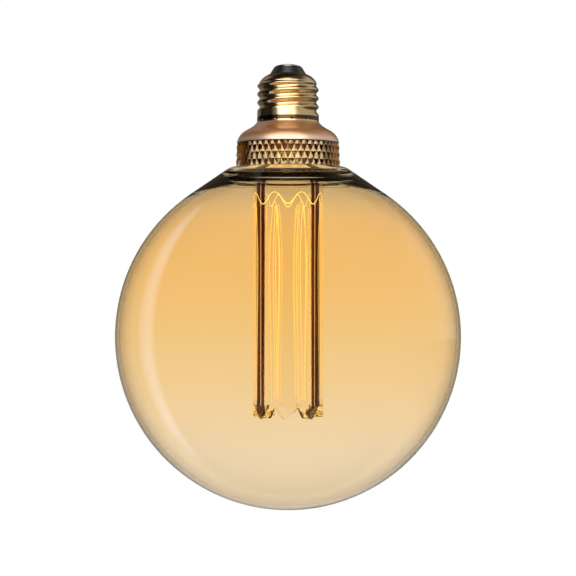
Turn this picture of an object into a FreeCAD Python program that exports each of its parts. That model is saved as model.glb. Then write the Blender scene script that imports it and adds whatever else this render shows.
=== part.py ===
import FreeCAD, Part
import math
import os

# Globe lamp with a screw cap, hanging cap up.
# The axis is Z, the origin lies on it in the plane of the screw shell's lower edge,
# and everything below the cap has a negative Z.

V = FreeCAD.Vector
AXIS = V(0, 0, 1)

# Screw cap with a rolled 27 mm round thread, 7 turns to the inch
PITCH = 25.4 / 7
CREST_R = 13.15
ROOT_R = 12.1
SKIRT_R = 13.2
SHELL_WALL = 0.3
THREAD_START = 2.2
THREAD_LEN = 15.2
THREAD_PHASE = 261.5
GROOVE_START = 4.2
GROOVE_RUN = 0.9
FADE_TOP = 1.6
SHOULDER_H = 3.3
SHOULDER_CROWN = 0.75
SHOULDER_HOLE_R = 7.9
CRIMP_COUNT = 12
CRIMP_FIRST = 277.0
CRIMP_R = 0.9
CRIMP_DEPTH = 0.3
CRIMP_UP = 1.0

# Insulator and end contact
INSULATOR_TOP_R = 5.8
INSULATOR_H = 3.3
INSULATOR_ROUND = 0.85
INSULATOR_NECK_H = 0.7
INSULATOR_FLANGE_R = 8.9
INSULATOR_FLANGE_DOWN = 1.15
INSULATOR_FLANGE_H = 1.4
CONTACT_SET_IN = 0.5
CONTACT_RISE = 1.1
CONTACT_EDGE_H = 0.25
CONTACT_SKIN = 0.5
STEM_R = 1.5
STEM_BORE_R = 0.6
STEM_DOWN = 3.5

# Engraved light guide
GUIDE_R = 15.0
GUIDE_WALL = 5.2
GUIDE_LEN = 112.0
GUIDE_LOBES = 8
GUIDE_WAVE = 2.6
GUIDE_PEAK_AT = 287.5

# LED board, chips, holder and screws
LED_BOARD_SET_IN = 0.4
LED_BOARD_LEDGE = 1.8
LED_BOARD_T = 1.0
LED_COUNT = 8
LED_SIZE = (2.8, 3.5, 0.7)
LED_GAP = 0.2
HOLDER_WALL = 0.9
HOLDER_H = 3.9
HOLDER_FLANGE_T = 1.2
HOLDER_RING_GAP = 0.3
SCREW_COUNT = 3
SCREW_OUT = 1.0
SCREW_R = 0.95
SCREW_LEN = 5.4
SCREW_END_GAP = 0.3
SCREW_HEAD_R = 1.35
SCREW_HEAD_H = 0.9
SLOT_W = 0.45
SLOT_DEPTH = 0.4

# Cut ring of clear resin
RING_WALL = 3.2
RING_TAPER = 0.5
RING_H = 11.75
COLUMNS = 48
ROW_STEP = 3.0
FIRST_ROW = 1.45
CUT_DEPTH = 0.6

# Collar, whose flank is given by shares of its width and of its height
COLLAR_LEDGE = 0.25
COLLAR_SET_IN = 0.1
COLLAR_H = 8.6
COLLAR_WALL = 1.3
COLLAR_CORE_DOWN = 0.8
COLLAR_FLANK = [(0.0, 0.0), (0.42, 0.32), (0.74, 0.52), (0.93, 0.77), (1.0, 1.0)]
SPIGOT_H = 2.9
SPIGOT_WALL = 1.3
BOSS_R = 1.9

# Carrier plate, whose rim shows as a dark line under the collar
RIM_LINE = 0.45
RIM_SET_BACK = 0.6
CARRIER_H = 1.0
CARRIER_PLAY = 0.5
WIRE_HOLE_R = 3.5

# Glass globe, whose shoulder leans by an angle from the horizontal
GLOBE_R = 73.5
GLOBE_WALL = 1.2
SHOULDER_LEAN = 55.5
LIP_R = 5.0
MOUTH_ROUND = 0.35
MOUTH_FLARE = 1.1
RING_IN_MOUTH = 1.8
SEAL_T = 0.55
SEAL_H = 1.2

# Driver board and what stands on it
BOARD_W = 18.0
BOARD_T = 1.2
BOARD_DOWN = 5.4
BOARD_SLOT_DEPTH = 0.8
CAN_R = 4.0
CAN_H = 11.5
CAN_X = 3.6
CAN_LOW = 0.5
CAN_BEAD = 0.35
CAN_GROOVE_UP = 1.8
CAN_PITCH = 2.5
CHOKE_R = 3.2
CHOKE_H = 7.0
CHOKE_FLANGE = 1.0
CHOKE_WINDING_IN = 0.5
CHOKE_X = -3.8
CHOKE_LOW = 3.0
CHOKE_PITCH = 2.4
FILM_SIZE = (6.0, 4.2, 7.0)
FILM_X = 4.3
FILM_LOW = 4.5
FILM_ROUND = 0.4
FILM_PITCH = 4.0
BRIDGE_SIZE = (4.7, 1.7, 3.9)
BRIDGE_X = -3.9
BRIDGE_LOW = -3.6
BRIDGE_BEVEL = 0.3
CHIP_SIZE = (3.9, 1.5, 4.9)
CHIP_X = 1.8
CHIP_LOW = -3.4
CHIP_PINS = 4
PIN_SIZE = (1.05, 0.7, 0.4)
RESISTOR_R = 1.3
RESISTOR_H = 6.4
RESISTOR_X = -4.6
RESISTOR_LOW = 3.2
RESISTOR_END = 1.2
RESISTOR_ROUND = 0.3
RESISTOR_WAIST_IN = 0.15
LEG_R = 0.25
LEG_IN = 0.1
LEG_DROP = 1.5

# Leads
LEAD_R = 0.35
LEAD_BEND = 0.8
LEAD_LAP = 3.4
LEAD_IN_STEM = 1.5
CONTACT_LEAD_X = -2.2
CONTACT_LEAD_DOWN = 4.8
CONTACT_LEAD_RISE = 0.4
CONTACT_LEAD_BEND = 0.5
SHELL_LEAD_IN = 1.2
LED_LEAD_X = 1.6
LED_LEAD_LAP = 1.0

# Clearances
FIT = 0.05
SEAT = 0.1
GAP = 0.2

# Radii from the light guide outwards, each resting on the one before
GUIDE_BORE_R = GUIDE_R - GUIDE_WALL
LED_BOARD_R = GUIDE_R - LED_BOARD_SET_IN
LED_BOARD_BORE_R = GUIDE_BORE_R - LED_BOARD_LEDGE
HOLDER_BORE_R = GUIDE_R + SEAT
HOLDER_R = HOLDER_BORE_R + HOLDER_WALL
SCREW_CIRCLE_R = HOLDER_R + SCREW_OUT
HOLDER_FLANGE_R = SCREW_CIRCLE_R + SCREW_HEAD_R + FIT
RING_BORE_R = HOLDER_FLANGE_R + HOLDER_RING_GAP
RING_TOP_R = RING_BORE_R + RING_WALL
RING_FOOT_R = RING_TOP_R + RING_TAPER
COLLAR_R = RING_TOP_R - COLLAR_SET_IN
MOUTH_R = RING_FOOT_R + SEAL_T

# Radii of the cap and of what fits in it
SHELL_BORE_R = SKIRT_R - SHELL_WALL
SPIGOT_R = SHELL_BORE_R - SEAT
COLLAR_TOP_R = SKIRT_R + COLLAR_LEDGE
CONTACT_R = INSULATOR_TOP_R - CONTACT_SET_IN

# Heights of the cap
THREAD_END = THREAD_START + THREAD_LEN
CAP_TOP = THREAD_END + SHOULDER_H
INSULATOR_TOP = CAP_TOP + INSULATOR_H
CONTACT_TOP = INSULATOR_TOP + CONTACT_RISE
STEM_LOW = CAP_TOP - STEM_DOWN
BOARD_TOP = CAP_TOP - BOARD_DOWN

# Heights below the cap
COLLAR_LOW = -COLLAR_H
RIM_LOW = COLLAR_LOW - RIM_LINE
CARRIER_TOP = COLLAR_LOW + CARRIER_H
RING_LOW = RIM_LOW - RING_H
LIP_TOP = RING_LOW + RING_IN_MOUTH
HOLDER_FLANGE_LOW = RIM_LOW - HOLDER_FLANGE_T
LED_FACE = RIM_LOW - LED_BOARD_T
GUIDE_TOP = LED_FACE - LED_SIZE[2] - LED_GAP
GUIDE_LOW = GUIDE_TOP - GUIDE_LEN

# The driver board's faces
FRONT = -BOARD_T / 2
BACK = BOARD_T / 2


def at(r, deg, z):
    a = math.radians(deg)
    return V(r * math.cos(a), r * math.sin(a), z)


def line(a, b):
    return Part.LineSegment(V(a[0], 0, a[1]), V(b[0], 0, b[1])).toShape()


def arc(a, m, b):
    return Part.Arc(V(a[0], 0, a[1]), V(m[0], 0, m[1]), V(b[0], 0, b[1])).toShape()


def curve(points):
    spline = Part.BSplineCurve()
    spline.interpolate([V(r, 0, z) for r, z in points])
    return spline.toShape()


def turned(edges):
    """A solid of revolution about Z from the edges of its half section."""
    return Part.Face(Part.Wire(edges)).revolve(V(0, 0, 0), AXIS, 360)


def outline(points):
    return [line(a, b) for a, b in zip(points, points[1:] + points[:1])]


def lathe(points):
    return turned(outline(points))


def tube(r_out, r_in, z_low, z_high):
    return lathe([(r_in, z_low), (r_out, z_low), (r_out, z_high), (r_in, z_high)])


def rod(r, a, b):
    return Part.makeCylinder(r, (b - a).Length, a, b - a)


def block(size, x, y, z_low):
    w, d, h = size
    return Part.makeBox(w, d, h, V(x - w / 2, y - d / 2, z_low))


def wire_run(points, r, bend):
    """A round wire along straight runs joined by arcs of one radius."""
    edges = []
    start = points[0]
    for before, corner, after in zip(points, points[1:], points[2:]):
        u = (before - corner).normalize()
        w = (after - corner).normalize()
        half = u.getAngle(w) / 2
        cut = bend / math.tan(half)
        a = corner + u * cut
        b = corner + w * cut
        centre = corner + (u + w).normalize() * (bend / math.sin(half))
        middle = centre + (corner - centre).normalize() * bend
        edges.append(Part.LineSegment(start, a).toShape())
        edges.append(Part.Arc(a, middle, b).toShape())
        start = b
    edges.append(Part.LineSegment(start, points[-1]).toShape())
    path = Part.Wire(edges)
    section = Part.Wire(Part.makeCircle(r, points[0], points[1] - points[0]))
    return path.makePipeShell([section], True, True)


def smooth(t):
    t = max(0.0, min(1.0, t))
    return t * t * (3 - 2 * t)


def thread_radius(deg, z):
    """Radius of the rolled thread: a groove that climbs one pitch a turn.

    It starts shallow in the plain skirt, and the thread fades out under the shoulder.
    """
    turn = (z - THREAD_START) / PITCH - (deg - THREAD_PHASE) / 360
    share = turn - math.floor(turn)
    groove_z = z - PITCH * (share - 0.5)
    run_in = smooth((groove_z - GROOVE_START) / GROOVE_RUN)
    depth = (1 - math.cos(2 * math.pi * share)) / 2 * run_in
    crest = SKIRT_R + (CREST_R - SKIRT_R) * smooth((z - THREAD_START) / PITCH)
    wave = crest - (CREST_R - ROOT_R) * depth
    return ROOT_R + (wave - ROOT_R) * smooth((THREAD_END - z) / FADE_TOP)


def thread_face(inset, z_low, z_high):
    around = 48
    along = 50
    rows = []
    for j in range(along + 1):
        z = z_low + (z_high - z_low) * j / along
        row = []
        for i in range(around + 1):
            deg = 360.0 * (i % around) / around
            row.append(at(thread_radius(deg, z) - inset, deg, z))
        rows.append(row)
    surface = Part.BSplineSurface()
    surface.interpolate(rows)
    surface.setVPeriodic()
    return surface.toShape()


def end_disc(face, z):
    """The flat disc inside a thread face's closed edge in the plane at z."""
    rings = []
    for edge in face.Edges:
        box = edge.BoundBox
        if abs(box.ZMin - z) < 1e-3 and abs(box.ZMax - z) < 1e-3:
            rings.append(edge)
    return Part.Face(Part.Wire(rings))


def thread_tube():
    outer = thread_face(FIT / 2, THREAD_START, THREAD_END)
    inner = thread_face(SHELL_WALL - FIT / 2, THREAD_START, THREAD_END)
    faces = [outer, inner]
    for z in (THREAD_START, THREAD_END):
        faces += end_disc(outer, z).cut(end_disc(inner, z)).Faces
    skin = Part.makeShell(faces)
    skin.sewShape()
    return Part.makeSolid(skin)


def shoulder():
    """The domed metal from the thread to the hole that holds the insulator."""
    out = (ROOT_R, THREAD_END)
    top = (SHOULDER_HOLE_R, CAP_TOP)
    reach = math.hypot(ROOT_R - SHOULDER_HOLE_R, SHOULDER_H)
    n = (SHOULDER_H / reach, (ROOT_R - SHOULDER_HOLE_R) / reach)
    middle = ((out[0] + top[0]) / 2 + SHOULDER_CROWN, (out[1] + top[1]) / 2)
    inner_middle = (middle[0] - SHELL_WALL * n[0], middle[1] - SHELL_WALL * n[1])
    inner_top = (SHOULDER_HOLE_R, CAP_TOP - SHELL_WALL)
    inner_out = (ROOT_R - SHELL_WALL, THREAD_END)
    return turned([
        arc(out, middle, top),
        line(top, inner_top),
        arc(inner_top, inner_middle, inner_out),
        line(inner_out, out),
    ])


def crimp_places():
    step = 360.0 / CRIMP_COUNT
    return [CRIMP_FIRST + step * k for k in range(CRIMP_COUNT)]


def crimp_ball(deg, r, depth_r):
    return Part.makeSphere(r, at(depth_r + r - CRIMP_DEPTH, deg, CRIMP_UP))


def screw_shell():
    skirt = tube(SKIRT_R, SHELL_BORE_R, 0, THREAD_START)
    inside = tube(SKIRT_R - FIT, SHELL_BORE_R - CRIMP_R, 0, THREAD_START)
    for deg in crimp_places():
        bulge = crimp_ball(deg, CRIMP_R, SHELL_BORE_R).common(inside)
        dent = crimp_ball(deg, CRIMP_R - FIT, SKIRT_R)
        skirt = skirt.fuse(bulge).cut(dent)
    return thread_tube().fuse(shoulder()).fuse(skirt)


def cap_insulator():
    neck_r = SHOULDER_HOLE_R - SEAT
    bore_r = STEM_R + FIT
    cone_low = CAP_TOP + FIT
    flange_top = CAP_TOP - INSULATOR_FLANGE_DOWN
    flange_low = flange_top - INSULATOR_FLANGE_H
    body = lathe([
        (bore_r, flange_low),
        (INSULATOR_FLANGE_R, flange_low),
        (INSULATOR_FLANGE_R, flange_top),
        (neck_r, CAP_TOP - INSULATOR_NECK_H),
        (neck_r, cone_low),
        (INSULATOR_TOP_R, INSULATOR_TOP),
        (bore_r, INSULATOR_TOP),
    ])
    rim = []
    for edge in body.Edges:
        box = edge.BoundBox
        if box.ZMin > INSULATOR_TOP - FIT and box.XMax > INSULATOR_TOP_R - FIT:
            rim.append(edge)
    return body.makeFillet(INSULATOR_ROUND, rim)


def end_contact():
    """A domed button with a hollow stem that takes the lead."""
    edge_z = INSULATOR_TOP + CONTACT_EDGE_H
    dome_h = CONTACT_TOP - edge_z
    dome_r = (CONTACT_R ** 2 + dome_h ** 2) / (2 * dome_h)
    half_r = CONTACT_R / 2
    half_way = (half_r, CONTACT_TOP - dome_r + math.sqrt(dome_r ** 2 - half_r ** 2))
    bore_top = INSULATOR_TOP - CONTACT_SKIN
    return turned([
        arc((0, CONTACT_TOP), half_way, (CONTACT_R, edge_z)),
        line((CONTACT_R, edge_z), (CONTACT_R, INSULATOR_TOP)),
        line((CONTACT_R, INSULATOR_TOP), (STEM_R, INSULATOR_TOP)),
        line((STEM_R, INSULATOR_TOP), (STEM_R, STEM_LOW)),
        line((STEM_R, STEM_LOW), (STEM_BORE_R, STEM_LOW)),
        line((STEM_BORE_R, STEM_LOW), (STEM_BORE_R, bore_top)),
        line((STEM_BORE_R, bore_top), (0, bore_top)),
        line((0, bore_top), (0, CONTACT_TOP)),
    ])


def collar_line(inset, drop):
    """The collar's flank: a cone that rounds over into an upright edge."""
    wide = COLLAR_R - COLLAR_TOP_R
    return [(COLLAR_TOP_R + wide * a - inset, -COLLAR_H * b - drop) for a, b in COLLAR_FLANK]


def screw_places():
    return [90.0 + 360.0 / SCREW_COUNT * k for k in range(SCREW_COUNT)]


def collar():
    out = collar_line(0, 0)
    inner = collar_line(COLLAR_WALL, COLLAR_CORE_DOWN)
    spigot_in = SPIGOT_R - SPIGOT_WALL
    inner[0] = (spigot_in, -COLLAR_WALL)
    inner[-1] = (COLLAR_R - COLLAR_WALL, COLLAR_LOW)
    solid = turned([
        line((SPIGOT_R, 0), out[0]),
        curve(out),
        line(out[-1], inner[-1]),
        curve(inner[::-1]),
        line(inner[0], (spigot_in, SPIGOT_H)),
        line((spigot_in, SPIGOT_H), (SPIGOT_R, SPIGOT_H)),
        line((SPIGOT_R, SPIGOT_H), (SPIGOT_R, 0)),
    ])
    envelope = turned([
        curve(out),
        line(out[-1], (0, COLLAR_LOW)),
        line((0, COLLAR_LOW), (0, 0)),
        line((0, 0), out[0]),
    ])
    for deg in screw_places():
        foot = at(SCREW_CIRCLE_R, deg, CARRIER_TOP)
        boss = rod(BOSS_R, foot, foot + AXIS * COLLAR_H).common(envelope)
        solid = solid.fuse(boss)
    for deg in screw_places():
        foot = at(SCREW_CIRCLE_R, deg, CARRIER_TOP)
        end = at(SCREW_CIRCLE_R, deg, HOLDER_FLANGE_LOW + SCREW_LEN + SCREW_END_GAP)
        solid = solid.cut(rod(SCREW_R + FIT, foot, end))
    for deg in crimp_places():
        solid = solid.cut(crimp_ball(deg, CRIMP_R + SEAT, SHELL_BORE_R))
    return solid


def carrier_plate():
    inner_r = COLLAR_R - COLLAR_WALL - CARRIER_PLAY
    rim_r = COLLAR_R - RIM_SET_BACK
    plate = lathe([
        (WIRE_HOLE_R, RIM_LOW),
        (rim_r, RIM_LOW),
        (rim_r, COLLAR_LOW),
        (inner_r, COLLAR_LOW),
        (inner_r, CARRIER_TOP),
        (WIRE_HOLE_R, CARRIER_TOP),
    ])
    for deg in screw_places():
        foot = at(SCREW_CIRCLE_R, deg, RIM_LOW)
        plate = plate.cut(rod(SCREW_R + FIT, foot, foot + AXIS * (CARRIER_TOP - RIM_LOW)))
    slot_low = CARRIER_TOP - BOARD_SLOT_DEPTH
    slot = block((BOARD_W + GAP, BOARD_T + GAP, BOARD_SLOT_DEPTH), 0, 0, slot_low)
    return plate.cut(slot)


def diamond_point(i, j):
    """A corner of the cut pattern: i counts half columns, j counts rows down."""
    z = RIM_LOW - FIRST_ROW - ROW_STEP * (j - 1)
    down = (RIM_LOW - z) / RING_H
    r = RING_TOP_R + (RING_FOOT_R - RING_TOP_R) * down
    if (i + j) % 2:
        r -= CUT_DEPTH
    return at(r, 180.0 * (i % (2 * COLUMNS)) / COLUMNS - 90.0, z)


def facet(a, b, c):
    return Part.Face(Part.makePolygon([a, b, c, a]))


def crystal_ring():
    rows = int(math.ceil((RING_H - FIRST_ROW) / ROW_STEP)) + 1
    faces = []
    for j in range(rows + 1):
        for i in range(2 * COLUMNS):
            if (i + j) % 2:
                continue
            peak = diamond_point(i, j)
            left = diamond_point(i - 1, j)
            right = diamond_point(i + 1, j)
            if j > 0:
                top = diamond_point(i, j - 1)
                faces.append(facet(peak, left, top))
                faces.append(facet(peak, top, right))
            if j < rows:
                foot = diamond_point(i, j + 1)
                faces.append(facet(peak, foot, left))
                faces.append(facet(peak, right, foot))
    for j in (0, rows):
        corners = [diamond_point(i, j) for i in range(2 * COLUMNS)]
        faces.append(Part.Face(Part.makePolygon(corners + corners[:1])))
    cut_form = Part.makeSolid(Part.makeShell(faces))
    if cut_form.Volume < 0:
        cut_form.reverse()
    return cut_form.common(tube(RING_FOOT_R + CUT_DEPTH, RING_BORE_R, RING_LOW, RIM_LOW))


def globe_glass():
    """Blown globe: a plain sphere inside, and outside a cone that ends in a thick round lip."""
    lean = math.radians(SHOULDER_LEAN)
    n = (math.cos(lean), math.sin(lean))
    lip_r = MOUTH_R + MOUTH_ROUND
    lip_z = LIP_TOP - LIP_R
    centre = lip_z + (lip_r * n[0] + LIP_R - GLOBE_R) / n[1]
    on_globe = (GLOBE_R * n[0], centre + GLOBE_R * n[1])
    on_lip = (lip_r + LIP_R * n[0], lip_z + LIP_R * n[1])
    half = (lean + math.pi / 2) / 2
    lip_mid = (lip_r + LIP_R * math.cos(half), lip_z + LIP_R * math.sin(half))
    lip_top = (lip_r, LIP_TOP)
    mouth_top = (MOUTH_R, LIP_TOP - MOUTH_ROUND)
    bevel = 1 - math.sqrt(0.5)
    mouth_mid = (MOUTH_R + MOUTH_ROUND * bevel, LIP_TOP - MOUTH_ROUND * bevel)
    r_in = GLOBE_R - GLOBE_WALL
    flare_r = MOUTH_R + MOUTH_FLARE
    flare_z = centre + math.sqrt(r_in ** 2 - flare_r ** 2)
    mouth_low = (MOUTH_R, flare_z + MOUTH_FLARE)
    flare_mid = (MOUTH_R + MOUTH_FLARE * bevel, flare_z + MOUTH_FLARE * bevel)
    return turned([
        arc((0, centre - GLOBE_R), (GLOBE_R, centre), on_globe),
        line(on_globe, on_lip),
        arc(on_lip, lip_mid, lip_top),
        arc(lip_top, mouth_mid, mouth_top),
        line(mouth_top, mouth_low),
        arc(mouth_low, flare_mid, (flare_r, flare_z)),
        arc((flare_r, flare_z), (r_in, centre), (0, centre - r_in)),
        line((0, centre - r_in), (0, centre - GLOBE_R)),
    ])


def glass_seal():
    low = RING_LOW + SEAT
    return tube(MOUTH_R - FIT, RING_FOOT_R + FIT, low, low + SEAL_H)


def wave_ring(r, z, height):
    count = 12 * GUIDE_LOBES
    points = []
    for k in range(count):
        deg = 360.0 * k / count
        lift = height * math.cos(math.radians(GUIDE_LOBES * (deg - GUIDE_PEAK_AT)))
        points.append(at(r, deg, z + lift))
    ring = Part.BSplineCurve()
    ring.interpolate(points, PeriodicFlag=True)
    return ring.toShape()


def light_guide():
    body = tube(GUIDE_R, GUIDE_BORE_R, GUIDE_LOW - GUIDE_WAVE, GUIDE_TOP)
    r_in = GUIDE_BORE_R - GAP
    r_out = GUIDE_R + GAP
    floor = GUIDE_LOW - 3 * GUIDE_WAVE
    top_in = wave_ring(r_in, GUIDE_LOW, GUIDE_WAVE)
    top_out = wave_ring(r_out, GUIDE_LOW, GUIDE_WAVE)
    low_in = wave_ring(r_in, floor, 0)
    low_out = wave_ring(r_out, floor, 0)
    sides = [(top_in, top_out), (top_out, low_out), (low_out, low_in), (low_in, top_in)]
    waste = Part.makeSolid(Part.makeShell([Part.makeRuledSurface(a, b) for a, b in sides]))
    if waste.Volume < 0:
        waste.reverse()
    return body.cut(waste)


def led_board():
    return tube(LED_BOARD_R, LED_BOARD_BORE_R, LED_FACE, RIM_LOW)


def led_chips():
    middle = (GUIDE_R + GUIDE_BORE_R) / 2
    chips = []
    for k in range(LED_COUNT):
        chip = block(LED_SIZE, middle, 0, LED_FACE - LED_SIZE[2])
        chip.rotate(V(0, 0, 0), AXIS, 360.0 / LED_COUNT * (k + 0.5))
        chips.append(chip)
    return Part.makeCompound(chips)


def guide_holder():
    low = RIM_LOW - HOLDER_H
    ring = lathe([
        (HOLDER_BORE_R, low),
        (HOLDER_R, low),
        (HOLDER_R, HOLDER_FLANGE_LOW),
        (HOLDER_FLANGE_R, HOLDER_FLANGE_LOW),
        (HOLDER_FLANGE_R, RIM_LOW),
        (HOLDER_BORE_R, RIM_LOW),
    ])
    for deg in screw_places():
        foot = at(SCREW_CIRCLE_R, deg, HOLDER_FLANGE_LOW)
        ring = ring.cut(rod(SCREW_R + FIT, foot, foot + AXIS * HOLDER_FLANGE_T))
        ring = ring.cut(rod(SCREW_HEAD_R + SEAT, foot, foot - AXIS * HOLDER_H))
    return ring


def carrier_screws():
    screws = []
    for deg in screw_places():
        seat = at(SCREW_CIRCLE_R, deg, HOLDER_FLANGE_LOW)
        shank = rod(SCREW_R, seat, seat + AXIS * SCREW_LEN)
        head = rod(SCREW_HEAD_R, seat - AXIS * SCREW_HEAD_H, seat)
        low = seat.z - SCREW_HEAD_H
        slot = block((2 * SCREW_HEAD_R + GAP, SLOT_W, SLOT_DEPTH), seat.x, seat.y, low)
        screws.append(head.fuse(shank).cut(slot).removeSplitter())
    return Part.makeCompound(screws)


def driver_board():
    low = CARRIER_TOP - BOARD_SLOT_DEPTH + SEAT
    return block((BOARD_W, BOARD_T, BOARD_TOP - low), 0, 0, low)


def legs(x, pitch, y_body, y_face, z_body):
    """Two legs that leave a body downwards and turn to the board."""
    wires = []
    for side in (-1, 1):
        leg_x = x + side * pitch / 2
        low = z_body - LEG_DROP
        route = [V(leg_x, y_body, z_body + LEG_IN), V(leg_x, y_body, low), V(leg_x, y_face, low)]
        wires.append(wire_run(route, LEG_R, 2 * LEG_R))
    return wires


def smoothing_capacitor():
    y = FRONT - GAP - CAN_R
    top = CAN_LOW + CAN_H
    groove = CAN_LOW + CAN_GROOVE_UP
    can = lathe([
        (0, CAN_LOW),
        (CAN_R - CAN_BEAD, CAN_LOW),
        (CAN_R, CAN_LOW + CAN_BEAD),
        (CAN_R, groove - CAN_BEAD),
        (CAN_R - CAN_BEAD, groove),
        (CAN_R, groove + CAN_BEAD),
        (CAN_R, top - CAN_BEAD),
        (CAN_R - CAN_BEAD, top),
        (0, top),
    ])
    can.translate(V(CAN_X, y, 0))
    return can.fuse(legs(CAN_X, CAN_PITCH, y, FRONT, CAN_LOW))


def choke():
    y = BACK + GAP + CHOKE_R
    low = CHOKE_LOW
    top = CHOKE_LOW + CHOKE_H
    coil_r = CHOKE_R - CHOKE_WINDING_IN
    drum = lathe([
        (0, low),
        (CHOKE_R, low),
        (CHOKE_R, low + CHOKE_FLANGE),
        (coil_r, low + CHOKE_FLANGE),
        (coil_r, top - CHOKE_FLANGE),
        (CHOKE_R, top - CHOKE_FLANGE),
        (CHOKE_R, top),
        (0, top),
    ])
    drum.translate(V(CHOKE_X, y, 0))
    return drum.fuse(legs(CHOKE_X, CHOKE_PITCH, y, BACK, low))


def film_capacitor():
    y = BACK + GAP + FILM_SIZE[1] / 2
    body = block(FILM_SIZE, FILM_X, y, FILM_LOW)
    body = body.makeFillet(FILM_ROUND, body.Edges)
    return body.fuse(legs(FILM_X, FILM_PITCH, y, BACK, FILM_LOW))


def bridge_rectifier():
    outside = FRONT - BRIDGE_SIZE[1]
    body = block(BRIDGE_SIZE, BRIDGE_X, FRONT - BRIDGE_SIZE[1] / 2, BRIDGE_LOW)
    edges = [e for e in body.Edges if abs(e.CenterOfMass.y - outside) < FIT]
    return body.makeChamfer(BRIDGE_BEVEL, edges)


def driver_chip():
    w, d, h = CHIP_SIZE
    pin_w, pin_d, pin_h = PIN_SIZE
    body = block(CHIP_SIZE, CHIP_X, BACK + d / 2, CHIP_LOW)
    reach = (w + pin_w - FIT) / 2
    pins = []
    for k in range(CHIP_PINS):
        z = CHIP_LOW + h * (k + 0.5) / CHIP_PINS - pin_h / 2
        for side in (-1, 1):
            pins.append(block(PIN_SIZE, CHIP_X + side * reach, BACK + pin_d / 2, z))
    return body.fuse(pins)


def fusible_resistor():
    y = FRONT - GAP - RESISTOR_R
    low = RESISTOR_LOW
    top = low + RESISTOR_H
    waist_r = RESISTOR_R - RESISTOR_WAIST_IN
    waist_run = RESISTOR_END + RESISTOR_ROUND
    body = lathe([
        (0, low),
        (RESISTOR_R - RESISTOR_ROUND, low),
        (RESISTOR_R, low + RESISTOR_ROUND),
        (RESISTOR_R, low + RESISTOR_END),
        (waist_r, low + waist_run),
        (waist_r, top - waist_run),
        (RESISTOR_R, top - RESISTOR_END),
        (RESISTOR_R, top - RESISTOR_ROUND),
        (RESISTOR_R - RESISTOR_ROUND, top),
        (0, top),
    ])
    body.translate(V(RESISTOR_X, y, 0))
    for end, way in ((low, -1), (top, 1)):
        start = V(RESISTOR_X, y, end - way * LEG_IN)
        turn = V(RESISTOR_X, y, end + way * LEG_DROP)
        route = [start, turn, V(RESISTOR_X, FRONT, turn.z)]
        body = body.fuse(wire_run(route, LEG_R, 2 * LEG_R))
    return body


def contact_lead():
    """From the board's front face up into the bore of the end contact's stem."""
    y = FRONT - LEAD_R
    turn = CAP_TOP - CONTACT_LEAD_DOWN
    route = [
        V(CONTACT_LEAD_X, y, BOARD_TOP - LEAD_LAP),
        V(CONTACT_LEAD_X, y, turn),
        V(0, 0, turn + CONTACT_LEAD_RISE),
        V(0, 0, STEM_LOW + LEAD_IN_STEM),
    ]
    return wire_run(route, LEAD_R, CONTACT_LEAD_BEND)


def shell_lead():
    """From the board's edge over the spigot's rim to the shell's skirt."""
    x = SHELL_LEAD_IN - BOARD_W / 2
    y = FRONT - LEAD_R
    z = SPIGOT_H + GAP + LEAD_R
    reach = math.sqrt((SHELL_BORE_R - GAP - LEAD_R) ** 2 - y ** 2)
    return wire_run([V(x, y, z + LEAD_LAP), V(x, y, z), V(-reach, y, z)], LEAD_R, LEAD_BEND)


def led_lead(side):
    """From the board's foot through the carrier plate to the LED board's lit face."""
    x = side * LED_LEAD_X
    y = FRONT - LEAD_R
    z = LED_FACE - LEAD_R
    end = side * (LED_BOARD_BORE_R + LED_LEAD_LAP)
    return wire_run([V(x, y, CARRIER_TOP + LEAD_LAP), V(x, y, z), V(end, y, z)], LEAD_R, LEAD_BEND)


NODES = {
    "end_contact": end_contact,
    "cap_insulator": cap_insulator,
    "screw_shell": screw_shell,
    "collar": collar,
    "carrier_plate": carrier_plate,
    "crystal_ring": crystal_ring,
    "globe_glass": globe_glass,
    "glass_seal": glass_seal,
    "light_guide": light_guide,
    "guide_holder": guide_holder,
    "carrier_screws": carrier_screws,
    "led_board": led_board,
    "led_chips": led_chips,
    "driver_board": driver_board,
    "smoothing_capacitor": smoothing_capacitor,
    "choke": choke,
    "film_capacitor": film_capacitor,
    "bridge_rectifier": bridge_rectifier,
    "driver_chip": driver_chip,
    "fusible_resistor": fusible_resistor,
    "contact_lead": contact_lead,
    "shell_lead": shell_lead,
    "led_lead_red": lambda: led_lead(1),
    "led_lead_black": lambda: led_lead(-1),
}

os.makedirs("parts", exist_ok=True)
for name, make in NODES.items():
    shape = make()
    print(name, shape.isValid(), len(shape.Solids), round(shape.Volume, 2))
    shape.exportStep("parts/" + name + ".step")
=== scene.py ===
import math

import bpy
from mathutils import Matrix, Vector


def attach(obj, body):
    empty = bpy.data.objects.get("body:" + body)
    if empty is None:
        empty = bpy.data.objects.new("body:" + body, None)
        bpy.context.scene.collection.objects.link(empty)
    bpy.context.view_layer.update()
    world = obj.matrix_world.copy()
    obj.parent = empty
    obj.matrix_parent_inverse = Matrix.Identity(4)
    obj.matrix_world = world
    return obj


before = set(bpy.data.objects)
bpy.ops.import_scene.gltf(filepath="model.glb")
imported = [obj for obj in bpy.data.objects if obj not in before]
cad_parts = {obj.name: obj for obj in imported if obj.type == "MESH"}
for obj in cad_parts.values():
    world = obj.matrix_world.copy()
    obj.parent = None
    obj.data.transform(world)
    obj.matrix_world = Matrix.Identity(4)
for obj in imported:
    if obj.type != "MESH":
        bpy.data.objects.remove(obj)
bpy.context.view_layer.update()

MM = 0.001

# Sizes repeated from the part, in millimetres
GLOBE_R = 73.5
GLOBE_CENTRE = -91.1
GUIDE_LOBES = 8

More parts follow.
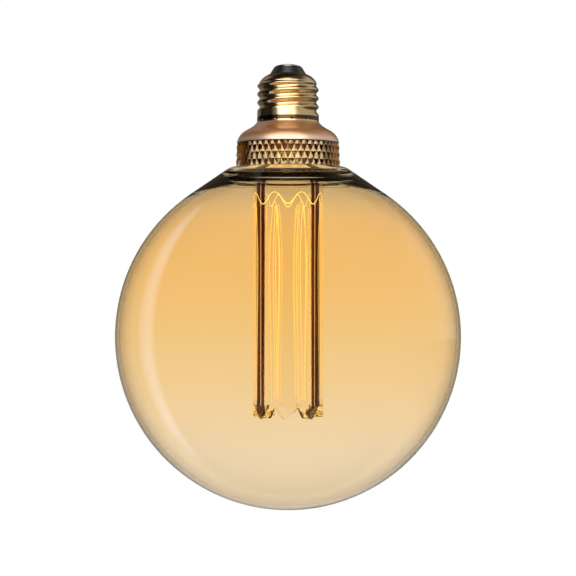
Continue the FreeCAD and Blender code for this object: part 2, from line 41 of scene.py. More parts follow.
# Where looks change, in millimetres. A pair says where a change starts and where it is done.
# Painted reflection: the dark band near the foot of the screw shell, where it mirrors the collar
SHELL_PAINTED_REFLECTION_Z = ((0.55, 0.75), (2.3, 2.6))
# Painted highlight: the collar's lower part is paler
COLLAR_PAINTED_HIGHLIGHT_Z = (-7.8, -5.6)
# Painted shade: the collar's lowest edge is darker
COLLAR_PAINTED_SHADE_Z = (-8.6, -7.9)
CHIP_RING_R = 12.4
CHIP_FIELD = (0.85, 1.0)
WINDING_Z = ((4.0, 4.05), (8.95, 9.0))
RESISTOR_RINGS = ((4.9, (120, 62, 30)), (6.0, (30, 30, 32)), (7.1, (190, 140, 50)))
RESISTOR_RING_WIDTH = 0.5
RESISTOR_RING_EDGE = 0.05
CAN_STRIPE_X = (5.9, 6.0)
CAN_TOP_Z = (11.7, 11.75)
GLASS_Z = (GLOBE_CENTRE - GLOBE_R, -19.0)
RING_BORE_R = (19.0, 19.4)
RING_FACE_R = (20.2, 20.6)
GUIDE_BORE_R = (10.2, 10.6)
GUIDE_WALL_R = (12.0, 13.0)
# Painted glow of the engraved lines: weaker below the first height, full above the second
GLOW_Z = (-123.0, -30.0)

# Inner face of the globe's mouth: heights, and how dark its painted reflection is there from within the
# glass and from across the globe
LIP_FROM_GLASS = ((-26.5, 0.0), (-26.0, 0.97), (-24.15, 0.97), (-23.9, 0.0))
LIP_ACROSS = ((-24.15, 0.0), (-24.0, 0.8), (-23.8, 0.8), (-23.65, 0.0))
# Slants over which the first of them sets in, across the mouth and along it, and what is left before that
LIP_SLANT = (0.12, 0.20)
LIP_ALONG = (0.38, 0.52)
LIP_LEFT = 0.1
# How much painted flash a facet of the crystal ring gets, from a metal mirror mixed into it
RING_PAINTED_FLASH = 0.25

# Engraved lines in the guide, in millimetres and degrees
CROWN_Z = -32.5
CROWN_WAVE = 2.6
CROWN_PEAK = 292.5
CROWN_STEP = 0.75
MARK_R = 14.72
CROWN_DOT_R = 0.27
PETAL_DOT_R = CROWN_DOT_R * 0.8
DOT_STEP = 0.42
# Arches under each peak of the crown: how far round from the peak and how far below it they start,
# where they end, and their half widths at the top, lower down and at the end
ARCHES = ((0.0, 4.3, -118.0, (0.55, 2.3, 1.4)), (3.0, 6.2, -117.0, (0.4, 1.3, 0.5)))
ARCH_RUNS = 60
ARCH_TOP_STEPS = 8
ARCH_RISE = 0.9
ARCH_SPREAD_ENDS = 0.3

# Floor, in metres: its height, half its side, and the ring in which it fades into an even white
FLOOR_Z = -0.42
FLOOR_HALF = 8.0
FLOOR_FADE_R = (0.25, 0.95)

# Light box in front: its direction from the camera's side in degrees, how wide it is, and its strength
BOX_TURN, BOX_UP = -5, 35
BOX_OUTER, BOX_INNER = 46, 34
BOX_STRENGTH = 2.1
# Degrees either side of the camera over which sharp mirrors see less of the studio, and how much is left
FRONT_INNER, FRONT_OUTER = 40, 60
FRONT_LEFT = 0.2

# Side light: where the globe's face shows it, in degrees and in shares of its radius,
# and how far off it is in metres
STREAK_LOW = -52
STREAK_HIGH = 54
STREAK_ACROSS = 0.772
STREAK_HALF = 0.055
STREAK_UP = 0.90
STREAK_LIFT = 0.04
STREAK_AWAY = 0.22
STREAK_RUNS = 48
STREAK_LANES = 8
STREAK_STRENGTH = 4.8

# Black card beside the cap, in metres, and in millimetres where it turns grey towards the rear
CARD_X = -0.03
CARD_Y = (-0.02, 0.08)
CARD_Z = (-0.014, 0.06)
CARD_GREY_Y = (3, 11)

# Camera: level, as high as the globe's upper half
CAMERA_DISTANCE = 725.7
CAMERA_Z = -70.4
LENS = 106.25
SENSOR = 36.0


# Node helpers

class Nodes:
    """A short way to write a node tree."""

    def __init__(self, tree):
        self.tree = tree
        self.tree.nodes.clear()

    def add(self, kind, **values):
        node = self.tree.nodes.new(kind)
        for key, value in values.items():
            setattr(node, key, value)
        return node

    def put(self, socket, value):
        """Links a socket or sets its value; None leaves it as it is."""
        if isinstance(value, bpy.types.NodeSocket):
            self.tree.links.new(value, socket)
        elif value is not None:
            socket.default_value = value

    def math(self, operation, a, b=None, clamp=False):
        node = self.add("ShaderNodeMath", operation=operation, use_clamp=clamp)
        for socket, value in zip(node.inputs, (a, b)):
            self.put(socket, value)
        return node.outputs[0]

    def times(self, first, *others):
        for other in others:
            first = self.math("MULTIPLY", first, other)
        return first

    def mix(self, factor, a, b, blend="MIX"):
        node = self.add("ShaderNodeMix", data_type="RGBA", blend_type=blend)
        self.put(node.inputs[0], factor)
        self.put(node.inputs[6], a)
        self.put(node.inputs[7], b)
        return node.outputs[2]

    def ramp(self, factor, stops, ease="LINEAR"):
        """A colour ramp of (place, number or colour) stops."""
        node = self.add("ShaderNodeValToRGB")
        node.color_ramp.interpolation = ease
        elements = node.color_ramp.elements
        while len(elements) < len(stops):
            elements.new(1.0)
        for element, (place, value) in zip(elements, stops):
            element.position = place
            if isinstance(value, (int, float)):
                value = (value, value, value)
            element.color = (*value, 1.0)
        self.put(node.inputs[0], factor)
        return node.outputs[0]

    def spread(self, value, low, high, to_low=0.0, to_high=1.0, smooth=False):
        """Maps low..high to to_low..to_high, held at the ends."""
        node = self.add("ShaderNodeMapRange")
        if smooth:
            node.interpolation_type = "SMOOTHSTEP"
        for socket, v in zip(node.inputs, (value, low, high, to_low, to_high)):
            self.put(socket, v)
        return node.outputs[0]

    def step(self, value, pair, to_low=0.0, to_high=1.0, smooth=False):
        """The same, from a pair in millimetres."""
        return self.spread(value, pair[0] * MM, pair[1] * MM, to_low, to_high, smooth)

    def between(self, value, rise, fall):
        """1 between two pairs of millimetres, 0 outside them."""
        return self.times(self.step(value, rise), self.step(value, fall, 1.0, 0.0))

    def vary(self, noise, low=0.0, high=1.0):
        """Maps the middle of a noise, where most of it lies, to low..high."""
        return self.spread(noise, 0.3, 0.7, low, high)

    def noise(self, where, scale, detail=3.0, rough=0.5, stretch=None):
        if stretch:
            mapping = self.add("ShaderNodeMapping")
            mapping.inputs["Scale"].default_value = stretch
            self.put(mapping.inputs["Vector"], where)
            where = mapping.outputs[0]
        node = self.add("ShaderNodeTexNoise")
        self.put(node.inputs["Vector"], where)
        node.inputs["Scale"].default_value = scale
        node.inputs["Detail"].default_value = detail
        node.inputs["Roughness"].default_value = rough
        return node.outputs[0]

    def bump(self, height, strength, distance, normal=None):
        node = self.add("ShaderNodeBump")
        node.inputs["Strength"].default_value = strength
        node.inputs["Distance"].default_value = distance
        self.put(node.inputs["Height"], height)
        self.put(node.inputs["Normal"], normal)
        return node.outputs[0]

    def split(self, vector):
        node = self.add("ShaderNodeSeparateXYZ")
        self.put(node.inputs[0], vector)
        return node.outputs

    def flat(self, x, y):
        """A level vector."""
        node = self.add("ShaderNodeCombineXYZ")
        self.put(node.inputs[0], x)
        self.put(node.inputs[1], y)
        return node.outputs[0]

    def dot(self, a, b):
        node = self.add("ShaderNodeVectorMath", operation="DOT_PRODUCT")
        self.put(node.inputs[0], a)
        self.put(node.inputs[1], b)
        return node.outputs["Value"]

    def where(self):
        """Object coordinates."""
        return self.add("ShaderNodeTexCoord").outputs["Object"]

    def radius(self, where):
        """Distance from the axis."""
        x, y, _ = self.split(where)
        return self.math("SQRT", self.math("ADD", self.times(x, x), self.times(y, y)))

    def facing(self, normal=None):
        """0 where a face is seen straight on, 1 where it is seen edge on."""
        node = self.add("ShaderNodeLayerWeight")
        node.inputs["Blend"].default_value = 0.5
        self.put(node.inputs["Normal"], normal)
        return node.outputs["Facing"]

    def principled(self, **values):
        """A Principled shader; values are named by socket with underscores."""
        node = self.add("ShaderNodeBsdfPrincipled")
        for key, value in values.items():
            self.put(node.inputs[key.replace("_", " ")], value)
        return node.outputs[0]

    def emission(self, strength, colour=None):
        node = self.add("ShaderNodeEmission")
        self.put(node.inputs["Color"], colour)
        self.put(node.inputs["Strength"], strength)
        return node.outputs[0]

    def blend(self, factor, a, b):
        """Mixes two shaders."""
        node = self.add("ShaderNodeMixShader")
        for socket, value in zip(node.inputs, (factor, a, b)):
            self.put(socket, value)
        return node.outputs[0]

    def both(self, a, b):
        """Adds two shaders."""
        node = self.add("ShaderNodeAddShader")
        self.put(node.inputs[0], a)
        self.put(node.inputs[1], b)
        return node.outputs[0]

    def output(self, surface):
        self.put(self.add("ShaderNodeOutputMaterial").inputs["Surface"], surface)


def material(name):
    made = bpy.data.materials.new(name)
    made.use_nodes = True
    return made, Nodes(made.node_tree)


def rgba(r, g, b):
    """Linear colour from display values of 0..255."""
    result = []
    for v in (r, g, b):
        v /= 255
        result.append(v / 12.92 if v <= 0.04045 else ((v + 0.055) / 1.055) ** 2.4)
    return (*result, 1.0)


# Materials

def brass(name, base, dark, rough, painted_collar_reflection=False):
    """Rolled sheet metal: fine lines round the part, faint tarnish and a grain, and, where asked, a painted
    dark reflection of the collar near its foot.
    """
    made, n = material(name)
    where = n.where()
    patina = n.spread(n.noise(where, 90, 4, 0.55), 0.38, 0.72, smooth=True)
    colour = n.mix(patina, rgba(*base), rgba(*dark))
    # Painted reflection: a dark band near the foot of the shell stands in for the collar mirrored there
    if painted_collar_reflection:
        shade = n.between(n.split(where)[2], *SHELL_PAINTED_REFLECTION_Z)
        colour = n.mix(n.times(shade, 0.94), colour, rgba(60, 48, 26))
    lines = n.noise(where, 1400, 2, 0.5, stretch=(0.04, 0.04, 1.0))
    grain = n.noise(where, 5200, 2, 0.6)
    roughness = n.math("ADD", n.vary(lines, rough - 0.04, rough + 0.05), n.spread(patina, 0, 1, 0, 0.05))
    normal = n.bump(grain, 0.08, 0.00002, n.bump(lines, 0.12, 0.00003))
    n.output(n.principled(Base_Color=colour, Metallic=1.0, Roughness=roughness, Normal=normal))
    return made


def satin_copper():
    """Satin copper lacquer: a metallic base with a fine sparkle of flakes, paler towards its foot as a
    painted highlight, with painted shade on its lowest edge.
    """
    made, n = material("satin_copper")
    where = n.where()
    z = n.split(where)[2]
    base = n.mix(n.spread(n.noise(where, 60, 3), 0.35, 0.7), rgba(204, 138, 80), rgba(214, 150, 92))
    # Painted highlight: paler colour towards the collar's foot
    base = n.mix(n.step(z, COLLAR_PAINTED_HIGHLIGHT_Z, 1.0, 0.0, smooth=True), base, rgba(230, 196, 164))
    flakes = n.add("ShaderNodeTexVoronoi", feature="F1")
    n.put(flakes.inputs["Vector"], where)
    flakes.inputs["Scale"].default_value = 4200
    sparkle = n.spread(flakes.outputs["Distance"], 0.0, 0.55, 1.0, 0.0)
    base = n.mix(n.times(sparkle, 0.22), base, rgba(246, 212, 184))
    # Painted shade: darker colour on the collar's lowest edge
    edge = n.step(z, COLLAR_PAINTED_SHADE_Z, 1.0, 0.0, smooth=True)
    base = n.mix(n.times(edge, 0.3), base, rgba(150, 96, 60))
    rough = n.vary(n.noise(where, 2400, 2), 0.33, 0.43)
    normal = n.bump(n.noise(where, 1500, 3, 0.6), 0.12, 0.00004)
    n.output(n.principled(
        Base_Color=base, Metallic=0.7, Roughness=rough, Normal=normal,
        Coat_Weight=1.0, Coat_IOR=1.7, Coat_Roughness=0.26,
    ))
    return made


def black_insulator():
    """Moulded black glass: swirl marks from the mould and a soft gloss."""
    made, n = material("black_insulator")
    where = n.where()
    swirl = n.noise(where, 420, 4, 0.6, stretch=(0.3, 0.3, 1.6))
    base = n.mix(n.spread(swirl, 0.3, 0.75), rgba(20, 20, 22), rgba(30, 30, 33))
    rough = n.vary(n.noise(where, 900, 3), 0.2, 0.34)
    n.output(n.principled(Base_Color=base, Roughness=rough, Normal=n.bump(swirl, 0.1, 0.00004), IOR=1.55))
    return made


def plastic(name, base, shade, rough=0.42, metal=0.0):
    """Moulded plastic, lacquer or a coated sheet with a fine texture and soft mottling."""
    made, n = material(name)
    where = n.where()
    mottle = n.spread(n.noise(where, 160, 4, 0.55), 0.32, 0.72)
    colour = n.mix(mottle, rgba(*base), rgba(*shade))
    texture = n.noise(where, 1800, 3, 0.6)
    roughness = n.vary(texture, rough - 0.05, rough + 0.08)
    normal = n.bump(texture, 0.25, 0.00003)
    n.output(n.principled(Base_Color=colour, Roughness=roughness, Normal=normal, Metallic=metal))
    return made


def board(name, mask, mask_shade, copper, lines):
    """Printed circuit board: tracks under the solder mask and a weave beneath."""
    made, n = material(name)
    where = n.where()
    brick = n.add("ShaderNodeTexBrick")
    n.put(brick.inputs["Vector"], where)
    brick.inputs["Scale"].default_value = lines
    brick.inputs["Mortar Size"].default_value = 0.035
    brick.inputs["Color1"].default_value = rgba(*mask)
    brick.inputs["Color2"].default_value = rgba(*mask_shade)
    brick.inputs["Mortar"].default_value = rgba(*copper)
    weave = n.noise(where, 3000, 2)
    roughness = n.vary(weave, 0.26, 0.38)
    normal = n.bump(weave, 0.15, 0.00003, n.bump(brick.outputs["Fac"], 0.3, 0.00003))
    n.output(n.principled(Base_Color=brick.outputs["Color"], Roughness=roughness, Normal=normal))
    return made


def led_face():
    """White package with a yellow phosphor field."""
    made, n = material("led_phosphor")
    where = n.where()
    off_ring = n.math("ABSOLUTE", n.math("SUBTRACT", n.radius(where), CHIP_RING_R * MM))
    field = n.step(off_ring, CHIP_FIELD, 1.0, 0.0, smooth=True)
    grain = n.noise(where, 6000, 2)
    phosphor = n.mix(n.vary(grain), rgba(250, 206, 84), rgba(255, 228, 130))
    colour = n.mix(field, rgba(238, 234, 222), phosphor)
    n.output(n.principled(
        Base_Color=colour, Roughness=n.vary(grain, 0.35, 0.5), Normal=n.bump(grain, 0.2, 0.00002),
        Emission_Color=colour, Emission_Strength=0.6,
    ))
    return made


def wound_ferrite():
    """Black ferrite drum with a copper winding between its flanges."""
    made, n = material("wound_ferrite")
    where = n.where()
    turns = n.add("ShaderNodeTexWave", wave_type="BANDS", bands_direction="Z")
    n.put(turns.inputs["Vector"], where)
    turns.inputs["Scale"].default_value = 900
    copper = n.mix(turns.outputs["Fac"], rgba(120, 60, 28), rgba(214, 126, 70))
    grit = n.noise(where, 2600, 3)
    ferrite = n.mix(grit, rgba(34, 34, 36), rgba(58, 58, 60))
    colour = n.mix(n.between(n.split(where)[2], *WINDING_Z), ferrite, copper)
    normal = n.bump(turns.outputs["Fac"], 0.5, 0.00008, n.bump(grit, 0.2, 0.00003))
    n.output(n.principled(Base_Color=colour, Roughness=n.vary(grit, 0.3, 0.5), Normal=normal))
    return made


def banded_resistor():
    """Beige coat with three plain colour rings."""
    made, n = material("banded_resistor")
    where = n.where()
    z = n.split(where)[2]
    coat = n.mix(n.noise(where, 900, 3), rgba(196, 178, 140), rgba(172, 152, 114))
    for low, ring in RESISTOR_RINGS:
        high = low + RESISTOR_RING_WIDTH
        inside = n.between(z, (low, low + RESISTOR_RING_EDGE), (high, high + RESISTOR_RING_EDGE))
        coat = n.mix(inside, coat, rgba(*ring))
    grain = n.noise(where, 2400, 3)
    n.output(n.principled(
        Base_Color=coat, Roughness=n.vary(grain, 0.3, 0.45), Normal=n.bump(grain, 0.2, 0.00003),
    ))
    return made


def sleeved_can():
    """Dark shrink sleeve with a plain stripe, and a bare metal top."""
    made, n = material("sleeved_can")
    where = n.where()
    x, _, z = n.split(where)
    grain = n.noise(where, 1900, 3)
    sleeve = n.mix(grain, rgba(30, 32, 44), rgba(44, 46, 62))
    sleeve = n.mix(n.times(n.step(x, CAN_STRIPE_X), 0.8), sleeve, rgba(168, 172, 182))
    top = n.step(z, CAN_TOP_Z)
    n.output(n.principled(
        Base_Color=n.mix(top, sleeve, rgba(196, 198, 202)), Roughness=n.vary(grain, 0.26, 0.4),
        Metallic=n.times(top, 0.9), Normal=n.bump(grain, 0.2, 0.00003),
    ))
    return made


def painted_lip_reflection(n, where, facing):
    """1 where the mouth's inner face gets a painted dark reflection of a dark room, as the photograph's
    black lines show.
    """
    x, y, z = n.split(where)
    radius = n.radius(where)
    geometry = n.add("ShaderNodeNewGeometry")
    outward = n.dot(geometry.outputs["True Normal"], n.flat(x, y))
    back = geometry.outputs["Backfacing"]
    from_glass = n.times(n.math("GREATER_THAN", outward, 0.0), back)
    from_glass = n.times(from_glass, n.spread(facing, *LIP_SLANT, LIP_LEFT, 1.0))
    tangent = n.flat(n.math("DIVIDE", n.times(y, -1.0), radius), n.math("DIVIDE", x, radius))
    from_glass = n.times(from_glass, n.spread(n.facing(tangent), *LIP_ALONG, LIP_LEFT, 1.0))
    across = n.times(n.math("LESS_THAN", outward, 0.0), n.math("SUBTRACT", 1.0, back))
    masks = []
    for seen, stops in ((from_glass, LIP_FROM_GLASS), (across, LIP_ACROSS)):
        low, high = stops[0][0], stops[-1][0]
        shade = n.ramp(n.step(z, (low, high)), [((at - low) / (high - low), deep) for at, deep in stops])
        masks.append(n.times(seen, shade))
    return n.math("MAXIMUM", *masks)


def amber_glass():
    """Blown glass with a thin gold tint: tan at the neck, amber in the middle, pale at the foot, with
    painted shade under the collar and a painted dark reflection inside the mouth.
    """
    made, n = material("amber_glass")
    where = n.where()
    share = n.step(n.split(where)[2], GLASS_Z)
    facing = n.facing()
    tint = n.ramp(share, [
        (0.00, (0.90, 0.78, 0.58)),
        (0.12, (0.945, 0.845, 0.69)),
        (0.26, (0.955, 0.815, 0.60)),
        (0.45, (0.955, 0.775, 0.50)),
        (0.62, (0.955, 0.735, 0.415)),
        (0.78, (0.955, 0.715, 0.385)),
        (0.90, (0.93, 0.72, 0.44)),
        (1.00, (0.86, 0.70, 0.48)),
    ], ease="B_SPLINE")
    rim = n.ramp(facing, [
        (0.0, 0.0), (0.58, 0.0), (0.64, 0.07), (0.69, 0.18), (0.725, 0.25), (0.795, 0.40),
        (0.822, 0.66), (0.85, 0.90), (0.885, 0.90), (0.93, 0.5), (1.0, 0.3),
    ])
    edge = n.ramp(share, [(0.0, 0.3), (0.06, 0.5), (0.15, 0.85), (0.33, 0.95), (0.7, 1.0), (1.0, 1.0)])
    tint = n.mix(n.times(rim, edge), tint, (0.21, 0.125, 0.03, 1.0))
    streaks = n.noise(where, 9, 3, 0.5, stretch=(1.0, 1.0, 0.35))
    tint = n.mix(1.0, tint, n.vary(streaks, 0.985, 1.0), "MULTIPLY")
    # Painted shade: a greyer band on the shoulder just under the collar
    painted_neck_shade = n.ramp(share, [
        (0.875, 1.0), (0.915, (0.92, 0.97, 1.0)), (0.945, (0.885, 0.93, 1.0)),
        (0.965, (0.9, 0.95, 1.0)), (0.985, 1.0),
    ])
    tint = n.mix(1.0, tint, painted_neck_shade, "MULTIPLY")
    ripple = n.noise(where, 26, 2, 0.4, stretch=(1.0, 1.0, 0.5))
    clear = n.principled(
        Base_Color=tint, Roughness=0.0, IOR=1.5, Transmission_Weight=1.0,
        Normal=n.bump(ripple, 0.04, 0.0006), Specular_Tint=(0.12, 0.1, 0.08, 1.0),
    )
    # Painted dark reflection for the inner face of the mouth
    dark = n.principled(
        Base_Color=(0.012, 0.005, 0.003, 1.0), Roughness=n.vary(ripple, 0.12, 0.2),
        Specular_IOR_Level=0.05,
    )
    n.output(n.blend(painted_lip_reflection(n, where, facing), clear, dark))
    return made


def cut_resin():
    """Clear gold resin with crisp facets, polished, with faint flow lines, a painted dark reflection in its
    bore and painted flashes on its facets.
    """
    made, n = material("cut_resin")
    where = n.where()
    x, y, _ = n.split(where)
    radius = n.radius(where)
    facing = n.facing()
    geometry = n.add("ShaderNodeNewGeometry")
    inside = geometry.outputs["Backfacing"]
    flow = n.noise(where, 160, 3, 0.5, stretch=(1.0, 1.0, 0.3))
    clear = n.principled(
        Base_Color=n.mix(n.vary(flow), (0.93, 0.72, 0.40, 1.0), (0.96, 0.78, 0.48, 1.0)),
        Roughness=0.0, IOR=1.52, Transmission_Weight=1.0,
        Normal=n.bump(n.noise(where, 700, 2), 0.05, 0.00004), Specular_Tint=(0.8, 0.6, 0.4, 1.0),
    )

    # The bore is painted dark where it's seen at a slant: a painted reflection of the dark inside
    shade = n.ramp(facing, [
        (0.0, (0.55, 0.20, 0.03)), (0.10, (0.22, 0.07, 0.012)), (0.18, (0.03, 0.008, 0.004)),
        (0.40, (0.05, 0.014, 0.005)), (0.55, (0.45, 0.2, 0.06)), (1.0, (0.5, 0.25, 0.08)),
    ])
    dark = n.principled(Base_Color=shade, Roughness=n.vary(flow, 0.2, 0.3), Specular_IOR_Level=0.0)
    slant = n.ramp(facing, [(0.0, 0.0), (0.03, 0.05), (0.10, 0.75), (0.16, 1.0), (1.0, 1.0)])
    body = n.blend(n.times(slant, n.step(radius, RING_BORE_R, 1.0, 0.0), inside), clear, dark)

    # Facets that look up and to a side get a painted flash: a metal mirror mixed into the clear resin
    normal = n.split(geometry.outputs["True Normal"])
    sideways = n.math("SUBTRACT", n.times(x, normal[1]), n.times(y, normal[0]))
    sideways = n.math("GREATER_THAN", n.math("ABSOLUTE", n.math("DIVIDE", sideways, radius)), 0.04)
    upward = n.math("GREATER_THAN", normal[2], 0.08)
    painted_flash = n.times(upward, sideways, n.step(radius, RING_FACE_R))
    painted_flash = n.times(painted_flash, n.math("SUBTRACT", RING_PAINTED_FLASH, n.times(inside, RING_PAINTED_FLASH)))
    painted_flash_mirror = n.principled(Base_Color=rgba(255, 228, 176), Metallic=1.0, Roughness=n.vary(flow, 0.08, 0.16))
    n.output(n.blend(painted_flash, body, painted_flash_mirror))
    return made


def guide_acrylic():
    """Clear acrylic whose bore is painted dark where it's seen at a slant: a painted reflection of the dark
    round it.
    """
    made, n = material("guide_acrylic")
    where = n.where()
    radius = n.radius(where)
    facing = n.facing()
    slant = n.ramp(facing, [
        (0.0, 0.0), (0.255, 0.0), (0.275, 1.0), (0.372, 1.0), (0.386, 0.1), (0.402, 0.1),
        (0.416, 1.0), (0.59, 1.0), (0.63, 0.0), (1.0, 0.0),
    ])
    inside = n.add("ShaderNodeNewGeometry").outputs["Backfacing"]
    mask = n.times(slant, n.step(radius, GUIDE_BORE_R, 1.0, 0.0), inside)
    haze = n.noise(where, 1200, 2)
    tint = n.mix(n.vary(haze), (0.985, 0.955, 0.86, 1.0), (0.99, 0.965, 0.89, 1.0))
    wall = n.times(n.spread(facing, 0.22, 0.6), n.step(radius, GUIDE_WALL_R))
    tint = n.mix(wall, tint, (0.95, 0.82, 0.52, 1.0))
    clear = n.principled(
        Base_Color=tint, Roughness=0.0, IOR=1.49, Transmission_Weight=1.0,
        Normal=n.bump(n.noise(where, 300, 2, 0.5, stretch=(1.0, 1.0, 0.08)), 0.03, 0.0001),
        Specular_Tint=(0.12, 0.08, 0.04, 1.0),
    )
    # Colours of the painted dark reflection on the bore
    drift = n.spread(n.noise(where, 34, 2, 0.5, stretch=(1.0, 1.0, 0.5)), 0.4, 0.62)
    inner = n.mix(drift, (0.30, 0.08, 0.008, 1.0), (0.12, 0.012, 0.002, 1.0))
    outer = n.mix(drift, (0.06, 0.004, 0.001, 1.0), (0.21, 0.05, 0.005, 1.0))
    shade = n.mix(n.spread(facing, 0.385, 0.40), inner, outer)
    dark = n.principled(Base_Color=shade, Roughness=n.vary(haze, 0.2, 0.3), Specular_IOR_Level=0.0)
    n.output(n.blend(mask, clear, dark))
    return made


def silicone():
    """Clear sealing bead, faintly hazy."""
    made, n = material("clear_silicone")
    haze = n.noise(n.where(), 900, 3)
    n.output(n.principled(
        Base_Color=n.mix(haze, (0.9, 0.86, 0.78, 1), (0.96, 0.93, 0.87, 1)), Roughness=0.12, IOR=1.41,
        Transmission_Weight=0.9, Normal=n.bump(haze, 0.2, 0.00005),
    ))
    return made


def engraving_with_painted_glow(name, low, high, strength):
    """Frosted marks in the guide with a painted glow that stands in for the light of the chips, weaker
    further down.
    """
    made, n = material(name)
    where = n.where()
    fade = n.step(n.split(where)[2], GLOW_Z, 0.55, 1.0)
    sparkle = n.vary(n.noise(where, 2200, 2), 0.75, 1.1)
    n.output(n.principled(
        Base_Color=rgba(255, 236, 190), Roughness=n.spread(sparkle, 0.75, 1.1, 0.5, 0.7),
        Emission_Color=n.mix(sparkle, rgba(*low), rgba(*high)), Emission_Strength=n.times(fade, strength),
    ))
    return made


FINISH = {
    "screw_shell": brass("rolled_brass", (234, 208, 164), (214, 176, 120), 0.13, painted_collar_reflection=True),
    "end_contact": brass("tinned_contact", (206, 204, 198), (170, 166, 158), 0.22),
    "cap_insulator": black_insulator(),
    "collar": satin_copper(),
    "carrier_plate": plastic("dark_anodised", (90, 48, 22), (70, 36, 16), 0.4, metal=0.3),
    "crystal_ring": cut_resin(),
    "globe_glass": amber_glass(),
    "glass_seal": silicone(),
    "light_guide": guide_acrylic(),
    "guide_holder": plastic("amber_plastic", (176, 100, 40), (150, 84, 32)),
    "carrier_screws": brass("plated_steel", (188, 188, 190), (150, 148, 146), 0.26),
    "led_board": board("white_board", (236, 234, 226), (226, 224, 214), (206, 200, 184), 400),
    "led_chips": led_face(),
    "driver_board": board("green_board", (20, 84, 48), (16, 72, 42), (70, 120, 66), 500),
    "smoothing_capacitor": sleeved_can(),
    "choke": wound_ferrite(),
    "film_capacitor": plastic("film_case", (170, 40, 34), (150, 32, 28), 0.3),
    "bridge_rectifier": plastic("black_epoxy", (24, 24, 25), (36, 36, 37), 0.45),
    "driver_chip": plastic("chip_epoxy", (26, 26, 27), (38, 38, 39), 0.5),
    "fusible_resistor": banded_resistor(),
    "contact_lead": plastic("blue_wire", (40, 70, 150), (32, 58, 132), 0.38),
    "shell_lead": plastic("black_wire", (26, 26, 28), (40, 40, 42), 0.38),
    "led_lead_red": plastic("red_wire", (176, 34, 28), (150, 26, 22), 0.38),
    "led_lead_black": plastic("dark_wire", (30, 30, 32), (44, 44, 46), 0.38),
}

for node_name, finish in FINISH.items():
    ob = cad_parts[node_name]
    ob.data.materials.clear()
    ob.data.materials.append(finish)


# Engraved lines

def new_object(name, data):
    made = bpy.data.objects.new(name, data)
    bpy.context.scene.collection.objects.link(made)
    return made


def new_mesh(name, verts, faces):
    mesh = bpy.data.meshes.new(name)
    mesh.from_pydata(verts, [], faces)
    mesh.update()
    return new_object(name, mesh)


def on_guide(deg, z):
    a = math.radians(deg)
    return (MARK_R * math.cos(a) * MM, MARK_R * math.sin(a) * MM, z * MM)


def on_crown(deg):
    return on_guide(deg, CROWN_Z + CROWN_WAVE * math.cos(math.radians(GUIDE_LOBES * (deg - CROWN_PEAK))))


def along(points, step):
    """Evenly spaced points along a polyline."""
    placed = [points[0]]
    left = step
    for a, b in zip(points, points[1:]):
        length = math.dist(a, b)
        if length == 0:
            continue
        t = left
        while t <= length:
            placed.append(tuple(p + (q - p) * t / length for p, q in zip(a, b)))
            t += step
        left = t - length
    return placed


def arch(deg, top, low, halves):
    """A narrow arch that runs down the guide like a petal: its half width changes on the way."""
    half_top, half_mid, half_low = halves
    rise = half_top * ARCH_RISE
    side = []
    for k in range(ARCH_RUNS + 1):
        t = k / ARCH_RUNS
        z = top - rise - (top - rise - low) * t
        if t < ARCH_SPREAD_ENDS:
            s = math.sin(math.pi / 2 * t / ARCH_SPREAD_ENDS)
            half = half_top + (half_mid - half_top) * s
        else:
            s = (1 - math.cos(math.pi * (t - ARCH_SPREAD_ENDS) / (1 - ARCH_SPREAD_ENDS))) / 2
            half = half_mid + (half_low - half_mid) * s
        side.append((half, z))
    points = [(-h, z) for h, z in reversed(side)]
    for k in range(1, ARCH_TOP_STEPS):
        a = math.pi * k / ARCH_TOP_STEPS
        points.append((-half_top * math.cos(a), top - rise + rise * math.sin(a)))
    points += side
    turn = math.degrees(1 / MARK_R)
    return [on_guide(deg + h * turn, z) for h, z in points]


def dots(name, paths, radius):
    """Small eight-sided beads along the paths, as one mesh."""
    verts = []
    faces = []
    for path in paths:
        for p in along(path, DOT_STEP * MM):
            base = len(verts)
            for axis in range(3):
                for side in (-1, 1):
                    v = list(p)
                    v[axis] += side * (radius * MM)
                    verts.append(tuple(v))
            for ix in (0, 1):
                for iy in (2, 3):
                    for iz in (4, 5):
                        face = (base + ix, base + iy, base + iz)
                        if (ix + iy + iz) % 2:
                            face = face[::-1]
                        faces.append(face)
    return new_mesh(name, verts, faces)


crown = [on_crown(k * CROWN_STEP) for k in range(round(360 / CROWN_STEP) + 1)]
petals = []
for k in range(GUIDE_LOBES):
    peak = CROWN_PEAK + 360 / GUIDE_LOBES * k
    for turned, drop, low, halves in ARCHES:
        petals.append(arch(peak + turned, CROWN_Z + CROWN_WAVE - drop, low, halves))

# The engraved lines get a painted glow
for piece_name, paths, radius, light in (
    ("engraved_crown", [crown], CROWN_DOT_R,
     engraving_with_painted_glow("engraved_painted_glow", (255, 204, 90), (255, 226, 136), 1.7)),
    ("engraved_petals", petals, PETAL_DOT_R,
     engraving_with_painted_glow("engraved_soft_painted_glow", (255, 200, 88), (255, 220, 130), 1.45)),
):
    piece = dots(piece_name, paths, radius)
    piece.data.materials.append(light)
    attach(piece, "root")


# Floor and light

